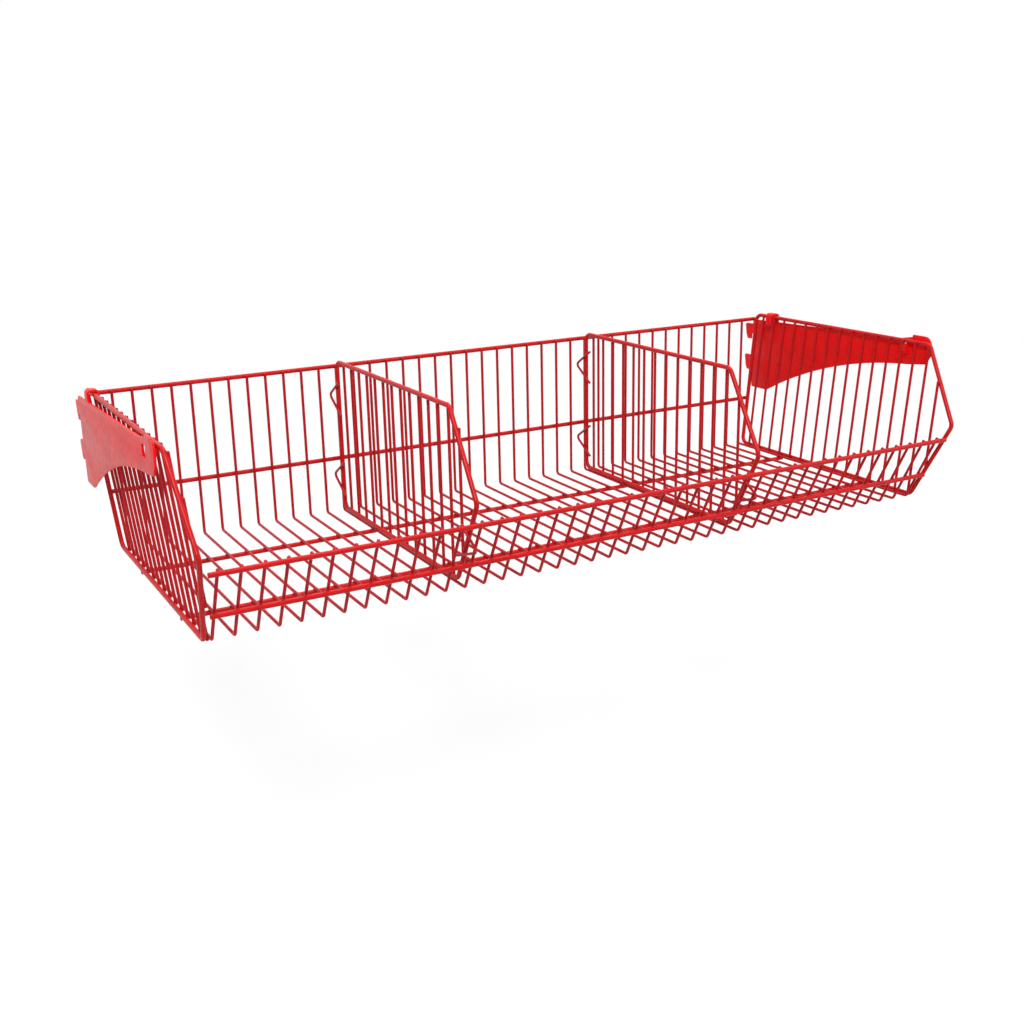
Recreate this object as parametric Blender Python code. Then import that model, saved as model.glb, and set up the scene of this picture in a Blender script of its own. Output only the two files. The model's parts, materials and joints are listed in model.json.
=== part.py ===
"""Wire basket rack: a welded wire basket hung between two sheet-steel shelf brackets.

Units are metres. X runs along the shelf bay, the front of the basket faces -Y and Z is up.
Depths below are measured forward from the basket's back, and heights up from its base wire.
"""
import math

import bmesh
import bpy
from mathutils import Matrix, Vector

# Wire sizes and the gap that stands for a weld
THIN_RADIUS = 0.00175
THICK_RADIUS = 0.00275
CLIP_RADIUS = 0.0016
CLEARANCE = 0.0003
WELD_SINK = 0.0008
THIN_BEVEL_STEPS = 1
THICK_BEVEL_STEPS = 2
BEND_STEPS = 3

# Basket profile, on the centre lines of the end hoops
BASKET_HEIGHT = 0.1945
BASE_DEPTH = 0.346
LIP_DEPTH = 0.398
LIP_HEIGHT = 0.100
TOP_DEPTH = 0.343
HOOP_BEND = 0.010
END_FLARE = 0.020

# Field of bent basket wires
WIRE_COUNT = 41
WIRE_PITCH = 0.0232
WIRE_BACK_BEND = 0.004
WIRE_TIP_BEND = 0.005
WIRE_TIP_PAST = 0.001

# Rails: heights up the back, depths along the base, distances up the lip
TOP_RAIL_DROP = 0.007
BACK_RAIL_HEIGHT = 0.0675
BASE_REAR_RAIL_DEPTH = 0.092
BASE_FRONT_RAIL_DEPTH = 0.260
LIP_LOWER_RAIL_ALONG = 0.0385
LIP_TOP_RAIL_ALONG = 0.096
RAIL_PAST = 0.001
LIP_RAIL_SHORT = 0.003

# Upright wires of the end panels, the last one measured back from the lip
END_WIRE_COUNT = 16
END_WIRE_FIRST = 0.0203
END_WIRE_LAST_BACK = 0.0297
UPRIGHT_PAST = 0.001

# Dividers, each standing on one of the basket wires and stopping short of the lip
DIVIDER_WIRES = {"left": 13, "right": 29}
DIVIDER_TOP_SHORT = 0.020
DIVIDER_LIP_SHORT = 0.017
DIVIDER_BASE_SHORT = 0.016
DIVIDER_WIRE_COUNT = 14
DIVIDER_WIRE_FIRST = 0.017
DIVIDER_WIRE_LAST_BACK = 0.044

# Spring clips on the dividers: reach behind or before the frame, height, tails past the frame
REAR_CLIP_REACH = 0.019
REAR_CLIP_HEIGHT = 0.044
REAR_CLIP_UPPER_DROP = 0.0445
REAR_CLIP_LOWER_HEIGHT = 0.045
REAR_CLIP_TAIL = 0.0165
FRONT_CLIP_REACH = 0.034
FRONT_CLIP_HEIGHT = 0.034
FRONT_CLIP_CENTRE = 0.051
FRONT_CLIP_TAIL = 0.007
CLIP_BEND = 0.004

# Bracket plate: drops are measured down from the basket's top wire, backs from its front corner
PLATE_THICKNESS = 0.0025
BRACKET_GAP = 0.00295
PLATE_BEHIND = 0.015
PLATE_FOOT_DROP = 0.1125
PLATE_FOOT_LENGTH = 0.035
PLATE_REAR_DROP = 0.0095
PLATE_FRONT_RISE = 0.001
ARCH_FRONT_BACK = 0.043
ARCH_FRONT_DROP = 0.032
ARCH_RISE = 0.015
ARCH_STEPS = 10
NOSE_BACK = 0.012
NOSE_DROP = 0.028
LUG_BACK = 0.004
LUG_LENGTH = 0.032
LUG_RISE = 0.008
LUG_ROUND = 0.012
LUG_RAMP_LENGTH = 0.022
LUG_RAMP_RISE = 0.004
HOOK_DROPS = (0.0165, 0.064)
HOOK_HEIGHT = 0.023
HOOK_REACH = 0.018
HOOK_THROAT = 0.004
HOOK_THROAT_HEIGHT = 0.008
HOOK_ROUND = 0.003

# Bracket tabs that hold the basket's top wires, each clear of the upright wires beside it
TAB_WIDTH = 0.013
TAB_BEFORE_WIRE = 2
TAB_SIDE_GAP = 0.001
TAB_FINGER_DROP = 0.012
SHELF_TAB_AFTER_WIRE = 13
SHELF_TAB_SIDE_GAP = 0.002
SHELF_TAB_HEIGHT = 0.013
SHELF_TAB_WINDOW = 0.010

COLLECTION_NAME = "wire_basket_rack"
CUTTER_COLLECTION_NAME = "wire_basket_rack_cutters"
COAT_RED = (0.80, 0.020, 0.022, 1.0)
PLATE_RED = (0.74, 0.022, 0.024, 1.0)

# Fits worked out from the sizes above
HALF_FIELD = WIRE_PITCH * (WIRE_COUNT - 1) / 2
UPRIGHT_OFFSET = THICK_RADIUS + THIN_RADIUS - WELD_SINK
END_BOTTOM_HALF = HALF_FIELD + 2 * THIN_RADIUS + 2 * CLEARANCE + UPRIGHT_OFFSET
END_TOP_HALF = END_BOTTOM_HALF + END_FLARE
END_LEAN = math.atan2(END_FLARE, BASKET_HEIGHT)
END_WIRE_PITCH = (LIP_DEPTH - END_WIRE_LAST_BACK - END_WIRE_FIRST) / (END_WIRE_COUNT - 1)
RAIL_OUT = 2 * THICK_RADIUS + CLEARANCE
WIRE_OUT = RAIL_OUT - THICK_RADIUS - THIN_RADIUS - CLEARANCE
LIP_ALONG = Vector((LIP_DEPTH - BASE_DEPTH, LIP_HEIGHT)).normalized()
LIP_OUT = Vector((LIP_ALONG.y, -LIP_ALONG.x))
TOP_RAIL_HEIGHT = BASKET_HEIGHT - TOP_RAIL_DROP
DIVIDER_SEAT = THIN_RADIUS + CLEARANCE + THICK_RADIUS - WIRE_OUT
DIVIDER_LIP_DEPTH = LIP_DEPTH - DIVIDER_LIP_SHORT
DIVIDER_WIRE_LAST = DIVIDER_LIP_DEPTH - DIVIDER_WIRE_LAST_BACK
DIVIDER_WIRE_PITCH = (DIVIDER_WIRE_LAST - DIVIDER_WIRE_FIRST) / (DIVIDER_WIRE_COUNT - 1)
OVER_BASE_WIRES = THIN_RADIUS - WIRE_OUT + CLEARANCE
PLATE_INNER = END_TOP_HALF + THICK_RADIUS + BRACKET_GAP
PLATE_MIDDLE = PLATE_INNER + PLATE_THICKNESS / 2
PLATE_REAR = -PLATE_BEHIND
LUG_FRONT = TOP_DEPTH - LUG_BACK
LUG_REAR = LUG_FRONT - LUG_LENGTH
TAB_FRONT = END_WIRE_FIRST + END_WIRE_PITCH * (TAB_BEFORE_WIRE - 1) - THIN_RADIUS - TAB_SIDE_GAP
TAB_REAR = TAB_FRONT - TAB_WIDTH
TAB_SEAT = BASKET_HEIGHT + THICK_RADIUS + CLEARANCE
TAB_INNER = END_TOP_HALF - THICK_RADIUS - TAB_SIDE_GAP
SHELF_TAB_WIRE_DEPTH = END_WIRE_FIRST + END_WIRE_PITCH * (SHELF_TAB_AFTER_WIRE - 1)
SHELF_TAB_REAR = SHELF_TAB_WIRE_DEPTH + THIN_RADIUS + SHELF_TAB_SIDE_GAP
SHELF_TAB_FRONT = SHELF_TAB_REAR + PLATE_THICKNESS
SHELF_SEAT = BASKET_HEIGHT - THICK_RADIUS - CLEARANCE
LOWEST = -RAIL_OUT - THICK_RADIUS


def fillet(points, radius, steps, closed=False):
    """Round each corner of a polyline with an arc of the given radius."""
    count = len(points)
    rounded = []
    for index, corner in enumerate(points):
        if not closed and index in (0, count - 1):
            rounded.append(corner.copy())
            continue
        before = (points[index - 1] - corner).normalized()
        after = (points[(index + 1) % count] - corner).normalized()
        half_angle = before.angle(after) / 2
        centre = corner + (before + after).normalized() * radius / math.sin(half_angle)
        start = (corner + before * radius / math.tan(half_angle) - centre).normalized()
        end = (corner + after * radius / math.tan(half_angle) - centre).normalized()
        for step in range(steps + 1):
            rounded.append(centre + start.slerp(end, step / steps) * radius)
    return rounded


def flat_fillet(points, radius, steps, closed=False):
    """Round a polyline given as depth and height pairs."""
    spatial = [Vector((point[0], point[1], 0.0)) for point in points]
    return [point.to_2d() for point in fillet(spatial, radius, steps, closed)]


def hoop_profile():
    """Depth and height of each corner of an end hoop, from the top rear corner round the base."""
    return ((0, BASKET_HEIGHT), (0, 0), (BASE_DEPTH, 0), (LIP_DEPTH, LIP_HEIGHT), (TOP_DEPTH, BASKET_HEIGHT))


HOOP_PATH = flat_fillet(hoop_profile(), HOOP_BEND, BEND_STEPS, closed=True)
FRONTMOST = max(point.x for point in HOOP_PATH) + THICK_RADIUS
MIDDLE_DEPTH = (FRONTMOST + PLATE_REAR - HOOK_REACH) / 2


def at(x, depth, height):
    """Place a point given by its depth from the back and its height over the base wire."""
    return Vector((x, MIDDLE_DEPTH - depth, height - LOWEST))


def half_width(height):
    """Distance of an end panel's plane from the middle of the basket at a height."""
    return END_BOTTOM_HALF + height * math.tan(END_LEAN)


def lip_point(along, out):
    """Depth and height of a point along the lip and outside its centre line."""
    return Vector((BASE_DEPTH, 0)) + LIP_ALONG * along + LIP_OUT * out


def top_of_profile(corners, depth):
    """Height of a frame's top edge, or of its slanted front edge, over a depth."""
    (front_depth, front_height), (top_depth, top_height) = corners[3], corners[4]
    if depth <= top_depth:
        return top_height
    share = (depth - top_depth) / (front_depth - top_depth)
    return top_height + (front_height - top_height) * share


def bottom_of_profile(corners, depth):
    """Height of a frame's bottom edge, or of its sloping lip edge, over a depth."""
    (base_depth, base_height), (front_depth, front_height) = corners[2], corners[3]
    if depth <= base_depth:
        return base_height
    share = (depth - base_depth) / (front_depth - base_depth)
    return base_height + (front_height - base_height) * share


def make_collection(name):
    """Add an empty collection to the scene."""
    collection = bpy.data.collections.new(name)
    bpy.context.scene.collection.children.link(collection)
    return collection


def coat(name, colour, roughness):
    """Glossy powder-coat paint over steel."""
    material = bpy.data.materials.new(name)
    material.use_nodes = True
    shader = material.node_tree.nodes["Principled BSDF"]
    shader.inputs["Base Color"].default_value = colour
    shader.inputs["Roughness"].default_value = roughness
    shader.inputs["Metallic"].default_value = 0.0
    return material


def tube_curve(name, runs, radius, bevel, closed=False):
    """Round wire along one or more polylines."""
    curve = bpy.data.curves.new(name, "CURVE")
    curve.dimensions = "3D"
    curve.bevel_depth = radius
    curve.bevel_resolution = bevel
    curve.use_fill_caps = True
    for points in runs:
        spline = curve.splines.new("POLY")
        spline.points.add(len(points) - 1)
        for target, point in zip(spline.points, points):
            target.co = (*point, 1.0)
        spline.use_cyclic_u = closed
        spline.use_smooth = True
    return bpy.data.objects.new(name, curve)


def sheet_curve(name, outline, thickness, matrix):
    """Flat sheet with a closed outline, given by its thickness and the plane it lies in."""
    curve = bpy.data.curves.new(name, "CURVE")
    curve.dimensions = "2D"
    curve.fill_mode = "BOTH"
    curve.extrude = thickness / 2
    spline = curve.splines.new("POLY")
    spline.points.add(len(outline) - 1)
    for target, point in zip(spline.points, outline):
        target.co = (point[0], point[1], 0.0, 1.0)
    spline.use_cyclic_u = True
    sheet = bpy.data.objects.new(name, curve)
    sheet.matrix_world = matrix
    return sheet


def as_mesh(curve_object, collection):
    """Turn a curve object into a closed mesh object of the same name."""
    name = curve_object.name
    bpy.context.scene.collection.objects.link(curve_object)
    bpy.context.view_layer.update()
    graph = bpy.context.evaluated_depsgraph_get()
    mesh = bpy.data.meshes.new_from_object(curve_object.evaluated_get(graph))
    work = bmesh.new()
    work.from_mesh(mesh)
    bmesh.ops.remove_doubles(work, verts=work.verts, dist=CLEARANCE / 10)
    bmesh.ops.recalc_face_normals(work, faces=work.faces)
    work.to_mesh(mesh)
    work.free()
    matrix = curve_object.matrix_world.copy()
    bpy.data.objects.remove(curve_object)
    mesh_object = bpy.data.objects.new(name, mesh)
    mesh_object.matrix_world = matrix
    collection.objects.link(mesh_object)
    return mesh_object


def cut_or_join(target, tool, operation):
    """Add a Boolean modifier and hide its tool."""
    tool.hide_render = True
    tool.display_type = "WIRE"
    modifier = target.modifiers.new(tool.name, "BOOLEAN")
    modifier.operation = operation
    modifier.solver = "EXACT"
    modifier.object = tool


def box(name, low, high, collection):
    """Box between two corners."""
    mesh = bpy.data.meshes.new(name)
    work = bmesh.new()
    bmesh.ops.create_cube(work, size=1.0)
    work.to_mesh(mesh)
    work.free()
    block = bpy.data.objects.new(name, mesh)
    size = high - low
    mesh.transform(Matrix.Translation((low + high) / 2) @ Matrix.Diagonal((*size, 1.0)))
    collection.objects.link(block)
    return block


def pivot(name, location, collection):
    """Empty that marks a joint's axis."""
    empty = bpy.data.objects.new(name, None)
    empty.location = location
    collection.objects.link(empty)
    bpy.context.view_layer.update()
    return empty


def hang_on(child, empty):
    """Parent a piece to a joint's empty without moving it."""
    child.parent = empty
    child.matrix_parent_inverse = empty.matrix_world.inverted()


def wire_x(number):
    """Place of a basket wire along the bay, counted from the left."""
    return (number - 1) * WIRE_PITCH - HALF_FIELD


def basket_wire(number):
    """One thin wire bent from the top of the back, along the base and up the lip."""
    lip_foot_shift = math.tan((math.pi / 2 - math.atan2(LIP_ALONG.x, LIP_ALONG.y)) / 2)
    corner = Vector((BASE_DEPTH + WIRE_OUT * lip_foot_shift, -WIRE_OUT))
    end = lip_point(LIP_TOP_RAIL_ALONG + WIRE_TIP_PAST, WIRE_OUT)
    x = wire_x(number)
    top = at(x, -WIRE_OUT, TOP_RAIL_HEIGHT + THIN_RADIUS)
    rear = at(x, -WIRE_OUT, -WIRE_OUT)
    front = at(x, *corner)
    path = fillet([top, rear, front], WIRE_BACK_BEND, BEND_STEPS)[:-1]
    path += fillet([rear, front, at(x, *end)], WIRE_TIP_BEND, BEND_STEPS)[1:]
    return tube_curve(f"basket_wire_{number:02d}", [path], THIN_RADIUS, THIN_BEVEL_STEPS)


def rails():
    """Name, depth, height and half length of each straight rail; those of the lip end inside the hoops."""
    inside_hoop = -THICK_RADIUS / math.cos(END_LEAN) - LIP_RAIL_SHORT
    places = (
        ("top_back_rail", -RAIL_OUT, TOP_RAIL_HEIGHT, RAIL_PAST),
        ("mid_back_rail", -RAIL_OUT, BACK_RAIL_HEIGHT, RAIL_PAST),
        ("base_rear_rail", BASE_REAR_RAIL_DEPTH, -RAIL_OUT, RAIL_PAST),
        ("base_front_rail", BASE_FRONT_RAIL_DEPTH, -RAIL_OUT, RAIL_PAST),
        ("lip_lower_rail", *lip_point(LIP_LOWER_RAIL_ALONG, RAIL_OUT), inside_hoop),
        ("lip_top_rail", *lip_point(LIP_TOP_RAIL_ALONG, RAIL_OUT), inside_hoop),
    )
    return [(name, depth, height, half_width(height) + past) for name, depth, height, past in places]


def rail(name, depth, height, half_length):
    """Straight thick rod along the bay."""
    ends = [at(-half_length, depth, height), at(half_length, depth, height)]
    return tube_curve(name, [ends], THICK_RADIUS, THICK_BEVEL_STEPS)


def end_panel(name, side, parts, cutters):
    """Leaning end hoop of thick wire with thin upright wires welded to its inner face."""
    path = [at(side * half_width(point.y), *point) for point in HOOP_PATH]
    hoop = as_mesh(tube_curve(name, [path], THICK_RADIUS, THICK_BEVEL_STEPS, closed=True), parts)
    inward = Vector((-side * math.cos(END_LEAN), 0, math.sin(END_LEAN))) * UPRIGHT_OFFSET
    corners = hoop_profile()
    runs = []
    for index in range(END_WIRE_COUNT):
        depth = END_WIRE_FIRST + END_WIRE_PITCH * index
        low = bottom_of_profile(corners, depth) - THIN_RADIUS
        high = top_of_profile(corners, depth) + UPRIGHT_PAST
        runs.append([at(side * half_width(z), depth, z) + inward for z in (low, high)])
    uprights = as_mesh(tube_curve(name + "_uprights", runs, THIN_RADIUS, THIN_BEVEL_STEPS), cutters)
    cut_or_join(hoop, uprights, "UNION")
    return hoop


def divider_profile():
    """Depth and height of each corner of a divider's frame, in the same order as the hoop."""
    return (
        (DIVIDER_SEAT, BASKET_HEIGHT),
        (DIVIDER_SEAT, DIVIDER_SEAT),
        (BASE_DEPTH - DIVIDER_BASE_SHORT, DIVIDER_SEAT),
        (DIVIDER_LIP_DEPTH, LIP_HEIGHT),
        (TOP_DEPTH - DIVIDER_TOP_SHORT, BASKET_HEIGHT),
    )


def divider_x(side_name):
    """Place of a divider along the bay: over the basket wire that it stands on."""
    return wire_x(DIVIDER_WIRES[side_name])


def divider(side_name, parts, cutters):
    """Upright frame of thick wire with thin wires welded to its right face."""
    name = f"divider_{side_name}"
    x = divider_x(side_name)
    corners = divider_profile()
    path = [at(x, *point) for point in flat_fillet(corners, HOOP_BEND, BEND_STEPS, closed=True)]
    frame = as_mesh(tube_curve(name, [path], THICK_RADIUS, THICK_BEVEL_STEPS, closed=True), parts)
    runs = []
    for index in range(DIVIDER_WIRE_COUNT):
        depth = DIVIDER_WIRE_FIRST + DIVIDER_WIRE_PITCH * index
        low = max(bottom_of_profile(corners, depth) - THIN_RADIUS, OVER_BASE_WIRES)
        high = top_of_profile(corners, depth) + UPRIGHT_PAST
        runs.append([at(x + UPRIGHT_OFFSET, depth, z) for z in (low, high)])
    uprights = as_mesh(tube_curve(name + "_uprights", runs, THIN_RADIUS, THIN_BEVEL_STEPS), cutters)
    cut_or_join(frame, uprights, "UNION")
    return frame


def divider_clips(side_name):
    """Bent spring-wire clips on the left face of a divider's frame: two behind it and one before it."""
    x = divider_x(side_name) - THICK_RADIUS - CLEARANCE - CLIP_RADIUS
    tail = DIVIDER_SEAT + REAR_CLIP_TAIL
    clips = []
    for place, centre in (("upper", BASKET_HEIGHT - REAR_CLIP_UPPER_DROP), ("lower", REAR_CLIP_LOWER_HEIGHT)):
        points = [
            at(x, tail, centre + REAR_CLIP_HEIGHT / 2),
            at(x, DIVIDER_SEAT - REAR_CLIP_REACH, centre),
            at(x, tail, centre - REAR_CLIP_HEIGHT / 2),
        ]
        clips.append((f"divider_{side_name}_rear_clip_{place}", points))
    (base_depth, base_height), (lip_depth, lip_height) = divider_profile()[2:4]
    lean = (lip_depth - base_depth) / (lip_height - base_height)
    points = []
    for rise in (FRONT_CLIP_HEIGHT / 2, 0.0, -FRONT_CLIP_HEIGHT / 2):
        edge = base_depth + lean * (FRONT_CLIP_CENTRE + rise - base_height)
        reach = -FRONT_CLIP_TAIL if rise else FRONT_CLIP_REACH
        points.append(at(x, edge + reach, FRONT_CLIP_CENTRE + rise))
    clips.append((f"divider_{side_name}_front_clip", points))
    return [
        tube_curve(name, [fillet(points, CLIP_BEND, BEND_STEPS)], CLIP_RADIUS, THIN_BEVEL_STEPS)
        for name, points in clips
    ]


def arch_points():
    """Arc under the bracket plate, from its foot to the front arm, bulging up by the arch's rise."""
    start = Vector((PLATE_REAR + PLATE_FOOT_LENGTH, BASKET_HEIGHT - PLATE_FOOT_DROP))
    end = Vector((TOP_DEPTH - ARCH_FRONT_BACK, BASKET_HEIGHT - ARCH_FRONT_DROP))
    chord = end - start
    radius = (chord.length_squared / 4 + ARCH_RISE ** 2) / (2 * ARCH_RISE)
    half_angle = math.asin(chord.length / 2 / radius)
    along = chord.normalized()
    up = Vector((-along.y, along.x))
    centre = (start + end) / 2 - up * (radius - ARCH_RISE)
    points = []
    for step in range(ARCH_STEPS + 1):
        angle = half_angle * (2 * step / ARCH_STEPS - 1)
        points.append(centre + (along * math.sin(angle) + up * math.cos(angle)) * radius)
    return points


def hook_points(top):
    """Hook on the rear edge, from its top down round the tooth to the throat behind it."""
    tip = PLATE_REAR - HOOK_REACH
    bottom = top - HOOK_HEIGHT
    return [
        (PLATE_REAR, top),
        (tip + HOOK_ROUND, top),
        (tip, top - HOOK_ROUND),
        (tip + HOOK_ROUND, bottom + 2 * HOOK_ROUND),
        (tip + 2 * HOOK_ROUND, bottom),
        (PLATE_REAR - HOOK_THROAT, bottom),
        (PLATE_REAR - HOOK_THROAT, bottom + HOOK_THROAT_HEIGHT),
        (PLATE_REAR, bottom + HOOK_THROAT_HEIGHT),
    ]


def plate_outline():
    """Outline of a bracket plate as depth and height pairs, round from the rear foot."""
    top_rear = BASKET_HEIGHT - PLATE_REAR_DROP
    top_front = BASKET_HEIGHT + PLATE_FRONT_RISE
    lug_top = BASKET_HEIGHT + LUG_RISE
    ramp_foot = LUG_REAR - LUG_RAMP_LENGTH
    slope = (top_front - top_rear) / (ramp_foot - PLATE_REAR)
    outline = [(PLATE_REAR, BASKET_HEIGHT - PLATE_FOOT_DROP), *arch_points()]
    outline += [(TOP_DEPTH - NOSE_BACK, BASKET_HEIGHT - NOSE_DROP), (LUG_FRONT, lug_top - 2 * LUG_ROUND)]
    lug_centre = Vector((LUG_FRONT - LUG_ROUND, lug_top - LUG_ROUND))
    for step in range(BEND_STEPS + 1):
        angle = math.pi / 2 * step / BEND_STEPS
        outline.append(lug_centre + LUG_ROUND * Vector((math.cos(angle), math.sin(angle))))
    outline += [(LUG_REAR, lug_top), (LUG_REAR, top_front + LUG_RAMP_RISE), (ramp_foot, top_front)]
    for depth, over in ((TAB_FRONT, False), (TAB_FRONT, True), (TAB_REAR, True), (TAB_REAR, False)):
        edge = top_rear + slope * (depth - PLATE_REAR)
        outline.append((depth, TAB_SEAT + PLATE_THICKNESS if over else edge))
    outline.append((PLATE_REAR, top_rear))
    for drop in HOOK_DROPS:
        outline += hook_points(BASKET_HEIGHT - drop)
    return outline


def bracket(name, side, parts, cutters):
    """Sheet bracket with rear hooks, a tab folded over the basket's top wire and one bent in under it."""
    side_on = Matrix(((0, 0, -1), (-1, 0, 0), (0, 1, 0))).to_4x4()
    side_on.translation = at(side * PLATE_MIDDLE, 0, 0)
    plate = as_mesh(sheet_curve(name, plate_outline(), PLATE_THICKNESS, side_on), parts)
    top = TAB_SEAT + PLATE_THICKNESS
    finger_end = BASKET_HEIGHT - TAB_FINGER_DROP
    fold = [
        (side * PLATE_MIDDLE, TAB_SEAT),
        (side * PLATE_MIDDLE, top),
        (side * (TAB_INNER - PLATE_THICKNESS), top),
        (side * (TAB_INNER - PLATE_THICKNESS), finger_end),
        (side * TAB_INNER, finger_end),
        (side * TAB_INNER, TAB_SEAT),
    ]
    face_on = Matrix(((1, 0, 0), (0, 0, -1), (0, 1, 0))).to_4x4()
    face_on.translation = at(0, (TAB_REAR + TAB_FRONT) / 2, 0)
    folded_tab = as_mesh(sheet_curve(name + "_folded_tab", fold, TAB_WIDTH, face_on), cutters)
    cut_or_join(plate, folded_tab, "UNION")
    window_x = sorted((side * (PLATE_INNER - PLATE_THICKNESS), side * (PLATE_INNER + 2 * PLATE_THICKNESS)))
    shelf_x = sorted((side * TAB_INNER, side * PLATE_MIDDLE))
    shelf_bottom = SHELF_SEAT - SHELF_TAB_HEIGHT
    window_low = at(window_x[0], SHELF_TAB_REAR, shelf_bottom)
    window_high = at(window_x[1], SHELF_TAB_REAR - SHELF_TAB_WINDOW, SHELF_SEAT)
    cut_or_join(plate, box(name + "_window", window_low, window_high, cutters), "DIFFERENCE")
    shelf_low = at(shelf_x[0], SHELF_TAB_FRONT, shelf_bottom)
    shelf_high = at(shelf_x[1], SHELF_TAB_REAR, SHELF_SEAT)
    cut_or_join(plate, box(name + "_shelf_tab", shelf_low, shelf_high, cutters), "UNION")
    return plate


def finish(piece, material):
    """Give a piece its coat and smooth shading."""
    piece.data.materials.append(material)
    if piece.type == "MESH":
        piece.data.shade_smooth()
        piece.data.set_sharp_from_angle(angle=math.radians(40))


def main():
    for old in list(bpy.data.objects):
        bpy.data.objects.remove(old)
    parts = make_collection(COLLECTION_NAME)
    cutters = make_collection(CUTTER_COLLECTION_NAME)
    basket_pivot = pivot("basket_tilt_axis", at(0, TAB_FRONT, TAB_SEAT), parts)

    basket = [basket_wire(number) for number in range(1, WIRE_COUNT + 1)]
    basket += [rail(*sizes) for sizes in rails()]
    for piece in basket:
        parts.objects.link(piece)
    for side_name, side in (("left", -1), ("right", 1)):
        basket.append(end_panel(f"end_panel_{side_name}", side, parts, cutters))
        plate = bracket(f"bracket_{side_name}", side, parts, cutters)
        finish(plate, coat(plate.name + "_coat", PLATE_RED, 0.32))
    for piece in basket:
        hang_on(piece, basket_pivot)
        finish(piece, coat(piece.name + "_coat", COAT_RED, 0.28))

    for side_name in DIVIDER_WIRES:
        foot = at(divider_x(side_name), DIVIDER_SEAT, DIVIDER_SEAT)
        lift = pivot(f"divider_{side_name}_lift", foot, parts)
        pieces = divider_clips(side_name)
        for clip in pieces:
            parts.objects.link(clip)
        for piece in [divider(side_name, parts, cutters), *pieces]:
            hang_on(piece, lift)
            finish(piece, coat(piece.name + "_coat", COAT_RED, 0.28))


main()
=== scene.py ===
"""Looks of a wire basket rack: smooth coated wires, folded sheet brackets, weld beads and a white stage.

Depths are measured forward from the basket's back wire and heights up from its base wire, in metres.
X runs along the shelf bay, the front of the basket faces -Y and Z is up.
"""
import functools
import json
import math

import bpy
import numpy as np
from bpy.props import FloatProperty, FloatVectorProperty, IntProperty, PointerProperty
from mathutils import Matrix, Vector


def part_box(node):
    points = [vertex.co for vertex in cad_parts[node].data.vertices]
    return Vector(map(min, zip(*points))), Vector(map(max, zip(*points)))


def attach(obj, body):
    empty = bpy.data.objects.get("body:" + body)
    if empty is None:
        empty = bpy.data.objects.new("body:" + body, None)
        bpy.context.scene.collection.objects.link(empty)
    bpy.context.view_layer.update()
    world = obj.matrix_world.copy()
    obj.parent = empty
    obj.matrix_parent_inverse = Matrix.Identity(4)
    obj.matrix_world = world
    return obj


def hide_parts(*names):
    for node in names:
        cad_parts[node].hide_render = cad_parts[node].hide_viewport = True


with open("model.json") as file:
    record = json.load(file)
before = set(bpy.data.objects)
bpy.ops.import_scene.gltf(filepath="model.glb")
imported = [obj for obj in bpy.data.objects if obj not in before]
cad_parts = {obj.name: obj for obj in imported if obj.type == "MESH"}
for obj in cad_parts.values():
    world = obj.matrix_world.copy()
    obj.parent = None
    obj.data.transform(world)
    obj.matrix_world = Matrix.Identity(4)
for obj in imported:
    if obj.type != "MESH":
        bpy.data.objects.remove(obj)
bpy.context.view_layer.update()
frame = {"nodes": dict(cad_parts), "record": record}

bl_info = {
    "name": "Wire Basket Rack",
    "version": (1, 0, 0),
    "blender": (4, 5, 0),
    "location": "3D View > Sidebar > Basket Rack",
    "description": "Coated wires, rails, dividers, clips and brackets of a wire basket rack",
    "category": "Add Mesh",
}

RECORD = frame["record"]
BODY_OF = {node: body for body, nodes in RECORD["behaviour"]["bodies"].items() for node in nodes}
SLOT_OF = {part["node"]: part["material_slot"] for part in RECORD["subparts"]}
WIRE_NODES = sorted(node for node in frame["nodes"] if node.startswith("basket_wire_"))
RAIL_NODES = sorted(node for node in frame["nodes"] if node.endswith("_rail"))
SIDES = {"left": -1, "right": 1}
DIVIDER_WIRES = {"left": 13, "right": 29}
ALONG_BAY, DEPTHWISE, UPWARD = np.eye(3)
COLOUR, VALUE = "NodeSocketColor", "NodeSocketFloat"
# Place and size of each lamp in metres, and its power in watts
LAMPS = {
    "key_lamp": ((-1.3, -2.0, 1.9), 0.6, 58),
    "top_lamp": ((0.2, 0.1, 2.4), 2.0, 48),
    "fill_lamp": ((2.0, -1.6, 1.0), 1.6, 16),
}


@functools.cache
def middle(node):
    """Middle of a CAD node's box."""
    low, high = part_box(node)
    return (low + high) / 2


def length(name, description, default):
    """Property for a size in metres."""
    return FloatProperty(name=name, description=description, default=default, unit="LENGTH", precision=5)


def amount(name, description, default):
    """Property for a plain factor."""
    return FloatProperty(name=name, description=description, default=default, subtype="FACTOR")


def tally(name, description, default):
    """Property for a number of pieces or steps."""
    return IntProperty(name=name, description=description, default=default, min=1)


def bearing(name, description, default):
    """Property for an angle in radians."""
    return FloatProperty(name=name, description=description, default=default, unit="ROTATION")


def spot(name, description, default):
    """Property for a place in metres."""
    return FloatVectorProperty(
        name=name, description=description, default=default, unit="LENGTH", subtype="TRANSLATION")


def colour(name, description, default):
    """Property for a linear colour."""
    return FloatVectorProperty(
        name=name, description=description, default=default, subtype="COLOR", size=3, min=0.0, max=1.0)


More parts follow.
